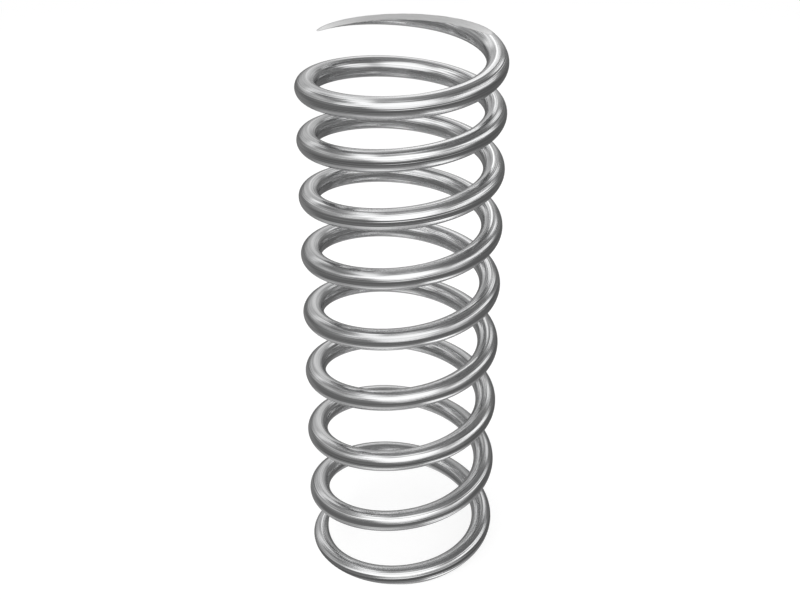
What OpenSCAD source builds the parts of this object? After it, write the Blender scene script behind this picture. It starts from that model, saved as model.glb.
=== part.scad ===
// An open-wound compression spring of round drawn wire, with both ends cut and ground flat.
// It stands on its ground foot with its axis up +Z. The origin is where the axis meets the foot.

/* [Wire] */
// Diameter of the drawn wire
wire_d = 2; // [1.2:0.05:2.6]

/* [Coil] */
// Outside diameter of the coil
coil_d = 19; // [15:0.1:28]
// Free length from the ground foot to the ground top
free_len = 53; // [48:0.5:70]
// Turns that the middle of the wire makes between the two ground ends
turns = 8.55; // [7.5:0.005:9.5]
// Bearing at which the middle of the wire meets the foot, from +X towards +Y
foot_bearing = 237; // [0:0.5:359.5]

/* [Foot end] */
// Pitch of the last of the wire under the foot, where it is ground away
tip_pitch = 3.3; // [2:0.05:6]
// Pitch where the middle of the wire meets the foot
foot_pitch = 4.45; // [3:0.05:6]
// Pitch as the wire leaves the plate that it stands on
seat_pitch = 5.7; // [3:0.05:7]
// Turns from the foot up to where the wire leaves that plate
seat_turns = 0.2; // [0.1:0.01:0.5]
// Turns in which the pitch then opens out to the body's
lift_turns = 0.32; // [0.04:0.01:0.8]

/* [Body] */
// How much closer the body is wound at its upper end than at its lower end
body_taper = 2.45; // [0:0.05:3]

/* [Top end] */
// Turns from the ground top down to the upper end of the body
top_ease = 1.2; // [0.9:0.01:2]
// Pitch of the close stretch of wire below the top
neck_pitch = 3.65; // [2.8:0.05:6]
// Turns from the ground top down to that close stretch
neck_turns = 0.46; // [0.3:0.01:0.8]
// Pitch where the last of the wire climbs to the top
climb_pitch = 8.05; // [4:0.05:9]
// Turns from the ground top down to that climb
climb_turns = 0.17; // [0.05:0.01:0.25]
// Pitch as the wire reaches the top
top_pitch = 4.7; // [3:0.05:6]

/* [Smoothness] */
// Flats around the wire
wire_sides = 16; // [12:4:16]
// Straight steps in one turn of the coil
turn_steps = 36; // [24:4:36]

/* [Hidden] */

wire_r = wire_d / 2;
// Radius of the helix that the middle of the wire follows
helix_r = coil_d / 2 - wire_r;

// The wire is wound past both ends until it is clear of the grinding planes
overrun = 1.3 * wire_r;
foot_overrun = 2 * overrun / (tip_pitch + foot_pitch);
top_overrun = overrun / top_pitch;
first_step = floor((foot_bearing - foot_overrun * 360) * turn_steps / 360);
last_step = ceil((foot_bearing + (turns + top_overrun) * 360) * turn_steps / 360);

// The winding, from foot to top, as pairs of a turn and the pitch there, with straight changes between
function winding(body) = [
    [-foot_overrun, tip_pitch],
    [0, foot_pitch],
    [seat_turns, seat_pitch],
    [seat_turns + lift_turns, body + body_taper / 2],
    [turns - top_ease, body - body_taper / 2],
    [turns - neck_turns, neck_pitch],
    [turns - climb_turns, climb_pitch],
    [turns, top_pitch],
    [turns + top_overrun, top_pitch]
];

// Height gained between two entries of a winding, up to turn t
function span_rise(t, low, high) =
    let (
        done = min(max(t, low[0]), high[0]) - low[0],
        growth = (high[1] - low[1]) / (high[0] - low[0])
    )
    done * (low[1] + growth * done / 2);

// Height of the middle of the wire over the foot at turn t of a winding
function rise(t, wound) =
    let (spans = [for (i = [1 : len(wound) - 1]) span_rise(t, wound[i - 1], wound[i])])
    spans * [for (s = spans) 1] - overrun;

// The body's mean pitch is the one that reaches the free length, worked out from two trial windings
closed_rise = rise(turns, winding(0));
body_pitch = (free_len - closed_rise) / (rise(turns, winding(1)) - closed_rise);
wound = winding(body_pitch);

// One ring of points round the wire, square to the helix, at a bearing
function wire_ring(bearing) =
    let (
        t = (bearing - foot_bearing) / 360,
        lead = atan2(lookup(t, wound), 2 * PI * helix_r),
        outward = [cos(bearing), sin(bearing), 0],
        upward = [sin(bearing) * sin(lead), -cos(bearing) * sin(lead), cos(lead)],
        middle = helix_r * outward + [0, 0, rise(t, wound)]
    )
    [for (k = [0 : wire_sides - 1])
        let (around = k * 360 / wire_sides)
        middle + wire_r * (cos(around) * outward + sin(around) * upward)];

// The wire as wound and cut, before its ends are ground
module wound_wire() {
    rings = last_step - first_step + 1;
    points = [for (step = [first_step : last_step]) each wire_ring(step * 360 / turn_steps)];
    sides = [
        for (ring = [0 : rings - 2], k = [0 : wire_sides - 1])
            let (
                a = ring * wire_sides + k,
                b = ring * wire_sides + (k + 1) % wire_sides,
                c = a + wire_sides,
                d = b + wire_sides
            )
            each [[a, d, c], [a, b, d]]
    ];
    foot_cut = [for (k = [wire_sides - 1 : -1 : 0]) k];
    top_cut = [for (k = [0 : wire_sides - 1]) (rings - 1) * wire_sides + k];
    polyhedron(points = points, faces = concat(sides, [foot_cut, top_cut]), convexity = 10);
}

// Everything between the two grinding planes
module between_plates() {
    reach = coil_d + 2 * wire_d;
    translate([-reach / 2, -reach / 2, 0])
        cube([reach, reach, free_len]);
}

module spring() {
    color("silver")
        intersection() {
            wound_wire();
            between_plates();
        }
}

spring();
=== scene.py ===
import math

import bmesh
import bpy
import numpy as np
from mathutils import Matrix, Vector


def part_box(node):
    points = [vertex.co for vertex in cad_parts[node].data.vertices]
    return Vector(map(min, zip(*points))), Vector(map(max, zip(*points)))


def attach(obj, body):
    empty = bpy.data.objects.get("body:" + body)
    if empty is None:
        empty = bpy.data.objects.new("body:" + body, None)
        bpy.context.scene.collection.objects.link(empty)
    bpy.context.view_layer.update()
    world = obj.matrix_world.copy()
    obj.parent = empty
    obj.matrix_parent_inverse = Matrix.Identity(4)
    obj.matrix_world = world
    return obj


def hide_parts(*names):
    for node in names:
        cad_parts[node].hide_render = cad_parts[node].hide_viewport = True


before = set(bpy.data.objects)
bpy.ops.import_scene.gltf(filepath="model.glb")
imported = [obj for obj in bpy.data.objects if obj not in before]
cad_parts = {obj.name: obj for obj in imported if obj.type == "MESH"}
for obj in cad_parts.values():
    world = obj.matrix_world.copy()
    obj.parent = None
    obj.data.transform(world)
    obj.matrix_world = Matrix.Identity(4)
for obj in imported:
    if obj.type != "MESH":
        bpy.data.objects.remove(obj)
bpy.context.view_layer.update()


# The winding of the spring.
# One length of hard round spring wire is wound cold over a mandrel into an open right-hand coil. The
# winder closes the pitch up towards both ends, so that the end turns lie nearly square to the axis.
spring_foot, spring_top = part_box("spring")
free_length = spring_top[2] - spring_foot[2]
wire_radius = 0.001
coil_radius = (spring_top[0] - spring_foot[0]) / 2 - wire_radius
turns = 8.55
foot_bearing = math.radians(237)
tip_pitch = 0.0033
foot_pitch = 0.00445
seat_pitch = 0.0057
body_taper = 0.00245
neck_pitch = 0.00365
climb_pitch = 0.00805
top_pitch = 0.0047

# The wire is wound past both ends until it is clear of the grinding planes
cut_spare = 1.3 * wire_radius
foot_spare = 2 * cut_spare / (tip_pitch + foot_pitch)
top_spare = cut_spare / top_pitch


def winding(body_pitch):
    """Turns counted from the foot, and the pitch of the wire at each of them, in metres."""
    stations = [
        (-foot_spare, tip_pitch),
        (0, foot_pitch),
        (0.2, seat_pitch),
        (0.52, body_pitch + body_taper / 2),
        (turns - 1.2, body_pitch - body_taper / 2),
        (turns - 0.46, neck_pitch),
        (turns - 0.17, climb_pitch),
        (turns, top_pitch),
        (turns + top_spare, top_pitch),
    ]
    return np.array(stations).T


def wire_height(turn, marks, pitches):
    """Height of the middle of the wire over the foot."""
    spans = np.diff(marks)
    reached = np.concatenate([[0], np.cumsum(spans * (pitches[1:] + pitches[:-1]) / 2)])
    at = np.clip(np.searchsorted(marks, turn, side="right") - 1, 0, len(spans) - 1)
    done = turn - marks[at]
    return reached[at] + done * (pitches[at] + np.interp(turn, marks, pitches)) / 2 - cut_spare


# The body's pitch is the one that reaches the free length, worked out from two trial windings
trial_pitch = 0.001
without_body = wire_height(np.array([turns]), *winding(0))[0]
with_body = wire_height(np.array([turns]), *winding(trial_pitch))[0]
marks, pitches = winding(trial_pitch * (free_length - without_body) / (with_body - without_body))


def wire_lead(turn):
    """The slope of the wire, as an angle."""
    return np.arctan2(np.interp(turn, marks, pitches), 2 * math.pi * coil_radius)


def turn_where(lowest, highest, clear_of):
    """The turn between two others at which a measure of the winding rises through nought."""
    for _ in range(60):
        middle = (lowest + highest) / 2
        if clear_of(np.array([middle]))[0] > 0:
            highest = middle
        else:
            lowest = middle
    return (lowest + highest) / 2


def over_foot(turn):
    """How far the middle of the wire lies over the foot's plane, in radii of the sloping wire."""
    return wire_height(turn, marks, pitches) / (wire_radius * np.cos(wire_lead(turn)))


def under_top(turn):
    """How far the middle of the wire lies under the top's plane, in radii of the sloping wire."""
    return (free_length - wire_height(turn, marks, pitches)) / (wire_radius * np.cos(wire_lead(turn)))


# Where the flat of the foot begins and ends, and where the flat of the top does
foot_tip = turn_where(-foot_spare, 0, lambda t: over_foot(t) + 1)
foot_leaves = turn_where(0, 0.6, lambda t: over_foot(t) - 1)
top_meets = turn_where(turns - 0.6, turns, lambda t: 1 - under_top(t))
top_tip = turn_where(turns, turns + top_spare, lambda t: -1 - under_top(t))


rings_per_turn = 144


def ring_turns(start, end):
    """Turns for the rings between two others, at even bearings, and closer at the start and the end."""
    close = np.array([0.3, 0.8, 1.5]) / 360
    clear = 2 / 360
    first = foot_bearing / (2 * math.pi)
    counts = np.arange(
        math.ceil((start + first) * rings_per_turn), math.floor((end + first) * rings_per_turn) + 1
    )
    even = counts / rings_per_turn - first
    even = even[(even > start + clear) & (even < end - clear)]
    return np.concatenate([[start], start + close, even, end - close[::-1], [end]])


# The body's mean slope gives the length of wire in a turn, for places along the wire before it is wound
body_lead = 0.115
turn_length = 2 * math.pi * coil_radius / math.cos(body_lead)


def around_wire(turn, angle):
    """Points on the round of the wire, the way it faces there, and its place along the straight wire."""
    bearing = foot_bearing + 2 * math.pi * turn
    lead = wire_lead(turn)
    nought = np.zeros_like(bearing)
    outward = np.stack([np.cos(bearing), np.sin(bearing), nought], -1)
    upward = np.stack([np.sin(bearing) * np.sin(lead), -np.cos(bearing) * np.sin(lead), np.cos(lead)], -1)
    facing = np.cos(angle)[..., None] * outward + np.sin(angle)[..., None] * upward
    middle = coil_radius * outward
    middle[..., 2] += wire_height(turn, marks, pitches)
    straight = np.stack([turn * turn_length, wire_radius * np.cos(angle), wire_radius * np.sin(angle)], -1)
    return middle + wire_radius * facing, facing, straight


# The spring itself.
# Drawn wire with a bright skin, in one piece from tip to tip. Both ends are cut and then ground flat
# and square to the axis, so the last turn thins over half a turn and runs out to a feather edge.
wire_steps = 48
flat_steps = 12


def patch(turn_list, start_angle, end_angle):
    """A grid over the round of the wire between two angles, which may change from ring to ring."""
    share = np.linspace(0, 1, wire_steps + 1)[None, :]
    angle = start_angle[:, None] * (1 - share) + end_angle[:, None] * share
    turn = np.repeat(turn_list[:, None], wire_steps + 1, axis=1)
    return around_wire(turn, angle)


def ground_patch(turn_list, start_angle, end_angle, level, facing_up):
    """A grid over the flat that grinding leaves, between the two edges of the round."""
    one_edge = around_wire(turn_list, start_angle)
    other_edge = around_wire(turn_list, end_angle)
    share = np.linspace(0, 1, flat_steps + 1)[None, :, None]
    points = one_edge[0][:, None] * (1 - share) + other_edge[0][:, None] * share
    points[..., 2] = level
    straight = one_edge[2][:, None] * (1 - share) + other_edge[2][:, None] * share
    facing = np.zeros_like(points)
    facing[..., 2] = facing_up
    return points, facing, straight


foot_rings = ring_turns(foot_tip, foot_leaves)
body_rings = ring_turns(foot_leaves, top_meets)
top_rings = ring_turns(top_meets, top_tip)
foot_rise = np.arcsin(np.clip(over_foot(foot_rings), -1, 1))
top_rise = np.arcsin(np.clip(under_top(top_rings), -1, 1))

# The angles round the wire at which the round starts and ends: all the way, or from one edge of a flat
# to the other
foot_edges = -foot_rise, math.pi + foot_rise
top_edges = math.pi - top_rise, 2 * math.pi + top_rise
whole_round = np.full_like(body_rings, -math.pi / 2), np.full_like(body_rings, 1.5 * math.pi)

patches = [
    (patch(foot_rings, *foot_edges), False),
    (patch(body_rings, *whole_round), False),
    (patch(top_rings, *top_edges), False),
    (ground_patch(foot_rings, *foot_edges, level=0.0, facing_up=-1), True),
    (ground_patch(top_rings, *top_edges, level=free_length, facing_up=1), True),
]

spring_mesh = bpy.data.meshes.new("spring_wire")
forming = bmesh.new()
straight_layer = forming.verts.layers.float_vector.new("straight_wire")
edge_layer = forming.verts.layers.float.new("from_edge")
width_layer = forming.verts.layers.float.new("flat_width")
for (points, facing, straight), ground in patches:
    rows, columns = points.shape[:2]
    width = np.linalg.norm(points[:, -1] - points[:, 0], axis=-1)
    verts = []
    for i in range(rows):
        verts.append([])
        for j in range(columns):
            vert = forming.verts.new(points[i, j])
            vert[straight_layer] = Vector(straight[i, j])
            if ground:
                vert[edge_layer] = width[i] * min(j, columns - 1 - j) / (columns - 1)
                vert[width_layer] = width[i]
            verts[i].append(vert)
    for i in range(rows - 1):
        for j in range(columns - 1):
            corners = [verts[i][j], verts[i][j + 1], verts[i + 1][j + 1], verts[i + 1][j]]
            towards = facing[i, j] + facing[i + 1, j + 1]
            face = forming.faces.new(corners)
            face.normal_update()
            if face.normal.dot(Vector(towards)) < 0:
                face.normal_flip()
            face.material_index = 1 if ground else 0
            face.smooth = True

# The rounds and the flats share their rims, and the flats run out to nothing at the two tips
bmesh.ops.remove_doubles(forming, verts=forming.verts, dist=2e-8)
bmesh.ops.dissolve_degenerate(forming, edges=forming.edges, dist=1e-8)
forming.to_mesh(spring_mesh)
forming.free()

spring = bpy.data.objects.new("spring_wire", spring_mesh)
bpy.context.collection.objects.link(spring)

# The corner normals follow the round wire and the ground flats exactly, so reflections run unbroken
straight_place = np.empty(len(spring_mesh.vertices) * 3)
spring_mesh.attributes["straight_wire"].data.foreach_get("vector", straight_place)
straight_place = straight_place.reshape(-1, 3)
vertex_turn = straight_place[:, 0] / turn_length
vertex_angle = np.arctan2(straight_place[:, 2], straight_place[:, 1])
wire_facing = around_wire(vertex_turn, vertex_angle)[1]
corner_facing = np.empty((len(spring_mesh.loops), 3))
for face in spring_mesh.polygons:
    for corner in face.loop_indices:
        if face.material_index == 1:
            corner_facing[corner] = (0, 0, 1 if face.center.z > free_length / 2 else -1)
        else:
            corner_facing[corner] = wire_facing[spring_mesh.loops[corner].vertex_index]
spring_mesh.normals_split_custom_set(corner_facing.tolist())


def drawn_lines_group():
    """Long fine lines on metal: broad and fine streaks in one direction, as a mask and as a height."""
    group = bpy.data.node_groups.new("drawn lines", "ShaderNodeTree")
    group.interface.new_socket("Place", in_out="INPUT", socket_type="NodeSocketVector")
    for name, value in (("Line Length", 0.017), ("Line Width", 0.00011), ("Broadness", 4.0)):
        socket = group.interface.new_socket(name, in_out="INPUT", socket_type="NodeSocketFloat")
        socket.default_value = value
    group.interface.new_socket("Streaks", in_out="OUTPUT", socket_type="NodeSocketFloat")
    group.interface.new_socket("Fine Lines", in_out="OUTPUT", socket_type="NodeSocketFloat")
    nodes, links = group.nodes, group.links
    entry = nodes.new("NodeGroupInput")
    leave = nodes.new("NodeGroupOutput")

    def reckon(operation, *values):
        node = nodes.new("ShaderNodeMath")
        node.operation = operation
        for slot, value in enumerate(values):
            if isinstance(value, (int, float)):
                node.inputs[slot].default_value = value
            else:
                links.new(value, node.inputs[slot])
        return node.outputs[0]

    def lines(along_scale, across_scale, detail):
        scale = nodes.new("ShaderNodeCombineXYZ")
        links.new(along_scale, scale.inputs[0])
        links.new(across_scale, scale.inputs[1])
        links.new(across_scale, scale.inputs[2])
        spread = nodes.new("ShaderNodeVectorMath")
        spread.operation = "MULTIPLY"
        links.new(entry.outputs["Place"], spread.inputs[0])
        links.new(scale.outputs[0], spread.inputs[1])
        noise = nodes.new("ShaderNodeTexNoise")
        noise.inputs["Scale"].default_value = 1
        noise.inputs["Detail"].default_value = detail
        noise.inputs["Roughness"].default_value = 0.55
        links.new(spread.outputs[0], noise.inputs["Vector"])
        return noise.outputs[0]

    along = reckon("DIVIDE", 1, entry.outputs["Line Length"])
    across = reckon("DIVIDE", 1, entry.outputs["Line Width"])
    broad_along = reckon("DIVIDE", along, entry.outputs["Broadness"])
    broad_across = reckon("DIVIDE", across, entry.outputs["Broadness"])
    fine = lines(along, across, 2)
    broad = lines(broad_along, broad_across, 3)
    links.new(broad, leave.inputs["Streaks"])
    mixed = reckon("ADD", reckon("MULTIPLY", fine, 0.45), reckon("MULTIPLY", broad, 0.55))
    links.new(mixed, leave.inputs["Fine Lines"])
    return group


drawn_lines = drawn_lines_group()


def spread_between(tree, value, low, high, out_low, out_high):
    """Turns a mask into a value that changes over the surface."""
    node = tree.nodes.new("ShaderNodeMapRange")
    node.inputs["From Min"].default_value = low
    node.inputs["From Max"].default_value = high
    node.inputs["To Min"].default_value = out_low
    node.inputs["To Max"].default_value = out_high
    tree.links.new(value, node.inputs["Value"])
    return node.outputs[0]


def tone(tree, value, dark, light):
    """A colour between a darker and a lighter one."""
    node = tree.nodes.new("ShaderNodeMix")
    node.data_type = "RGBA"
    node.inputs[6].default_value = (*dark, 1)
    node.inputs[7].default_value = (*light, 1)
    tree.links.new(value, node.inputs[0])
    return node.outputs[2]


def product(tree, one, other):
    """Two masks multiplied."""
    node = tree.nodes.new("ShaderNodeMath")
    node.operation = "MULTIPLY"
    tree.links.new(one, node.inputs[0])
    tree.links.new(other, node.inputs[1])
    return node.outputs[0]


def from_mesh(tree, name, output):
    """What the mesh says about each place on it."""
    node = tree.nodes.new("ShaderNodeAttribute")
    node.attribute_name = name
    return node.outputs[output]


def lined_steel(name, line_length, line_width, broadness, relief_depth):
    """Bare steel with fine lines along the wire, ready for its own tone, roughness and stretch."""
    steel = bpy.data.materials.new(name)
    steel.use_nodes = True
    tree = steel.node_tree
    metal = tree.nodes["Principled BSDF"]
    metal.inputs["Metallic"].default_value = 1.0
    round_axis = tree.nodes.new("ShaderNodeTangent")
    round_axis.direction_type = "RADIAL"
    round_axis.axis = "Z"
    tree.links.new(round_axis.outputs["Tangent"], metal.inputs["Tangent"])
    lines = tree.nodes.new("ShaderNodeGroup")
    lines.node_tree = drawn_lines
    lines.inputs["Line Length"].default_value = line_length
    lines.inputs["Line Width"].default_value = line_width
    lines.inputs["Broadness"].default_value = broadness
    tree.links.new(from_mesh(tree, "straight_wire", "Vector"), lines.inputs["Place"])
    relief = tree.nodes.new("ShaderNodeBump")
    relief.inputs["Strength"].default_value = 1.0
    relief.inputs["Distance"].default_value = relief_depth
    tree.links.new(lines.outputs["Fine Lines"], relief.inputs["Height"])
    tree.links.new(relief.outputs["Normal"], metal.inputs["Normal"])
    return steel, tree, metal, lines.outputs


# Bright drawn spring steel: nearly a mirror, with the long fine lines that the die leaves
wire_steel, tree, metal, lines = lined_steel(
    "bright drawn steel", line_length=0.05, line_width=0.00012, broadness=3.0, relief_depth=0.000062
)
metal.inputs["Anisotropic"].default_value = 0.85
streaks = spread_between(tree, lines["Fine Lines"], 0.38, 0.62, 0, 1)
steel_tone = tone(tree, streaks, (0.50, 0.503, 0.507), (0.73, 0.732, 0.735))
tree.links.new(steel_tone, metal.inputs["Base Color"])
tree.links.new(spread_between(tree, lines["Streaks"], 0.3, 0.7, 0.13, 0.08), metal.inputs["Roughness"])
spring_mesh.materials.append(wire_steel)

# The ground ends: the same steel, satin from the wheel, whose fine marks run along the end turn and
# spread the light across themselves. A thin line of painted dark reflection runs round the edges, and
# each flat has painted shade in its wide middle, darker there than towards its thin ends, in place of
# the way its reflection dims along the flat
# The width of the painted dark reflection along the edges of each flat
painted_dark_edge = 0.0002
thin_flat = 0.0009
wide_flat = 0.0021
ground_steel, tree, metal, lines = lined_steel(
    "ground steel ends", line_length=0.003, line_width=0.00008, broadness=4.0, relief_depth=0.0000035
)
metal.inputs["Anisotropic"].default_value = 0.7
metal.inputs["Anisotropic Rotation"].default_value = 0.25
# Painted dark reflection: a thin darker band along the edges of each flat
inside = spread_between(tree, from_mesh(tree, "from_edge", "Fac"), 0.0, painted_dark_edge, 0.6, 1.0)
streaks = spread_between(tree, lines["Fine Lines"], 0.35, 0.65, 0.88, 1.0)
width = from_mesh(tree, "flat_width", "Fac")
# Painted shade: each flat is darker in its wide middle than towards its thin ends
painted_middle_shade = spread_between(tree, width, thin_flat, wide_flat, 1.0, 0.53)
# The real fine streaks of the satin, together with the painted shade at the edges and in the middle
shade = product(tree, product(tree, inside, streaks), painted_middle_shade)
satin_tone_with_painted_shade = tone(tree, shade, (0.0, 0.0, 0.0), (0.87, 0.87, 0.87))
tree.links.new(satin_tone_with_painted_shade, metal.inputs["Base Color"])
tree.links.new(spread_between(tree, lines["Streaks"], 0.3, 0.7, 0.42, 0.30), metal.inputs["Roughness"])
spring_mesh.materials.append(ground_steel)

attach(spring, "root")
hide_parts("spring")


# The white sheet that the spring stands on.
# A smooth white acrylic sheet, lit a little through its back, so that it reads as white and still takes
# the soft shadow at the foot of the spring.
sheet_radius = 1.05
hair_under_foot = -0.00002
shadow_reach = 0.06
plain_white = 0.22
bpy.ops.mesh.primitive_circle_add(
    vertices=96, radius=sheet_radius, fill_type="NGON", location=(0, 0, hair_under_foot)
)
floor = bpy.context.object
floor.name = "white_sheet"
sheet_white = bpy.data.materials.new("white sheet")
sheet_white.use_nodes = True
tree = sheet_white.node_tree
acrylic = tree.nodes["Principled BSDF"]
acrylic.inputs["Roughness"].default_value = 1.0
acrylic.inputs["Specular IOR Level"].default_value = 0.0
place = tree.nodes.new("ShaderNodeTexCoord")
distance = tree.nodes.new("ShaderNodeVectorMath")
distance.operation = "LENGTH"
tree.links.new(place.outputs["Object"], distance.inputs[0])
far = spread_between(tree, distance.outputs["Value"], shadow_reach, plain_white, 0, 1)
tree.links.new(tone(tree, far, (0.32, 0.32, 0.32), (0.0, 0.0, 0.0)), acrylic.inputs["Base Color"])
tree.links.new(tone(tree, far, (0.8, 0.8, 0.8), (1.0, 1.0, 1.0)), acrylic.inputs["Emission Color"])
acrylic.inputs["Emission Strength"].default_value = 1.0
floor.data.materials.append(sheet_white)
floor.visible_glossy = False


# The studio.
# Bright wire shows what stands round it, so the light comes from soft panels in the wall of a grey tent,
# much as the photograph's wire mirrors them. The camera looks out through the tent and doesn't see it.
tent_middle = Vector((0, 0, free_length / 2))
tent_radius = 1.6
tent_columns, tent_rows = 240, 120


def heading(azimuth, elevation):
    """A direction: azimuth 0 is behind the spring, 90 on its right, and 180 at the camera."""
    turned, raised = np.radians(azimuth), np.radians(elevation)
    return np.stack([np.cos(raised) * np.sin(turned), np.cos(raised) * np.cos(turned), np.sin(raised)], -1)


def soft_panel(way, azimuth, elevation, half_width, half_height, lean, strength, edge):
    """The glow of one soft panel in each way from the spring. Its sizes are the degrees that it fills."""
    middle = heading(azimuth, elevation)
    sideways = np.array([math.cos(math.radians(azimuth)), -math.sin(math.radians(azimuth)), 0])
    upward = np.cross(sideways, middle)
    off = np.degrees(np.arccos(np.clip(way @ middle, -1, 1)))
    stretch = off / np.maximum(np.sin(np.radians(off)), 1e-6)
    x, y = (way @ sideways) * stretch, (way @ upward) * stretch
    tilt = math.radians(lean)
    x, y = x * math.cos(tilt) + y * math.sin(tilt), y * math.cos(tilt) - x * math.sin(tilt)
    squareness = 2.5
    across, down = (np.abs(x) / half_width) ** squareness, (np.abs(y) / half_height) ** squareness
    inside = 1 - (across + down) ** (1 / squareness)
    ramp = np.clip(inside / edge, 0, 1)
    return strength * ramp * ramp * (3 - 2 * ramp)


tent_azimuth, tent_elevation = np.meshgrid(
    np.arange(tent_columns) * 360 / tent_columns - 180, np.linspace(-90, 90, tent_rows + 1)
)
tent_azimuth, tent_elevation = tent_azimuth.ravel(), tent_elevation.ravel()
tent_way = heading(tent_azimuth, tent_elevation)

# The cloth of the tent: dim at the height of the spring, and lighter overhead and under the bench
heights = [-90, -65, -48, -36, 0, 12, 30, 60, 90]
left_wall = np.interp(tent_elevation, heights, [1.8, 0.55, 0.4, 0.15, 0.2, 0.35, 0.1, 0.65, 0.15])
right_wall = np.interp(tent_elevation, heights, [0.45, 0.35, 0.35, 0.15, 0.15, 0.25, 0.2, 0.2, 0.35])
to_right = 0.5 + 0.5 * np.sin(np.radians(tent_azimuth))
glow = left_wall * (1 - to_right) + right_wall * to_right

# The panels behind the cloth. Each has its azimuth, elevation, half width, half height and lean in degrees,
# then its strength and the share of it that its soft edge takes
panels = [
    (-174, 39, 37, 39, 18, 1.9, 0.55),  # the main one, over the camera
    (-132, 40, 39, 14, -24, 1.25, 0.5),  # its wing to the left
    (-89, 61, 35, 12, 13, 1.2, 0.7),  # a strip overhead on the left
    (-42, 54, 8, 18, 25, 1.5, 0.75),  # the far end of that strip
    (-42, 23, 8, 8, 2, 0.5, 0.55),  # a weak spot below that end
    (38, 34, 15, 10, 45, 1.35, 0.7),  # a small one behind, on the right
    (3, 36, 10, 11, -18, 1.45, 0.55),  # a small one straight behind
    (-26, 37, 11, 20, -32, 0.8, 0.5),  # a small one behind, on the left
    (95, 27, 40, 13, 6, 1.45, 0.5),  # a strip on the right
    (153, 26, 58, 24, 16, 0.55, 0.55),  # a dim one from there towards the camera
    (153, 42, 25, 28, 21, 0.45, 0.75),  # a weak glow above that one
    (104, -61, 33, 11, 10, 1.4, 0.7),  # one low down on the right
    (4, 29, 20, 38, 23, 0.45, 0.55),  # a weak glow behind
    (-33, 19, 54, 20, -14, 0.35, 0.7),  # a weak glow behind, towards the left
    (-85, 26, 28, 12, 0, 0.4, 0.65),  # a weak glow on the left
    (-111, 84, 32, 8, 6, 0.3, 0.6),  # a weak glow overhead
    (-177, -77, 49, 6, -1, 0.5, 0.75),  # a weak glow in front, under the bench
    (-36, -43, 32, 49, 16, 0.1, 0.55),  # a faint glow low down, behind on the left
]
for panel in panels:
    glow += soft_panel(tent_way, *panel)

# The cloth in front of the panels evens them out, and nowhere glows brighter than this
brightest_cloth = 1.6
glow = np.minimum(glow, brightest_cloth)

tent_faces = []
for low in range(0, tent_rows * tent_columns, tent_columns):
    high = low + tent_columns
    for j in range(tent_columns):
        k = (j + 1) % tent_columns
        tent_faces.append((low + j, low + k, high + k, high + j))
tent_mesh = bpy.data.meshes.new("grey_tent")
tent_mesh.from_pydata([tent_middle + Vector(way) * tent_radius for way in tent_way], [], tent_faces)
tent_mesh.attributes.new("glow", "FLOAT", "POINT").data.foreach_set("value", glow)
tent_cloth = bpy.data.materials.new("lit tent cloth")
tent_cloth.use_nodes = True
tree = tent_cloth.node_tree
tree.nodes.remove(tree.nodes["Principled BSDF"])
lamp = tree.nodes.new("ShaderNodeEmission")
tree.links.new(from_mesh(tree, "glow", "Fac"), lamp.inputs["Strength"])
tree.links.new(lamp.outputs[0], tree.nodes["Material Output"].inputs["Surface"])
tent_cloth.cycles.emission_sampling = "NONE"
tent_mesh.materials.append(tent_cloth)
tent = bpy.data.objects.new("grey_tent", tent_mesh)
bpy.context.collection.objects.link(tent)
tent.visible_camera = False

# Outside the tent everything is plain white, which is what the camera sees behind the spring
world = bpy.data.worlds.new("white room")
bpy.context.scene.world = world
world.use_nodes = True
white_room = world.node_tree.nodes["Background"]
white_room.inputs["Color"].default_value = (1, 1, 1, 1)
white_room.inputs["Strength"].default_value = 1.0


# The camera.
# It looks down on the spring from in front, at close range, as the photograph does.
camera = bpy.data.objects.new("camera", bpy.data.cameras.new("camera"))
bpy.context.collection.objects.link(camera)
camera.location = (-0.00239, -0.109328, 0.086821)
looks_down, looks_aside = 28.474, -1.195
camera.rotation_euler = (math.radians(90 - looks_down), 0, math.radians(looks_aside))
camera.data.sensor_width = 36
camera.data.lens = 57.72
camera.data.clip_start = 0.005
bpy.context.scene.camera = camera
bpy.context.scene.view_settings.view_transform = "Standard"
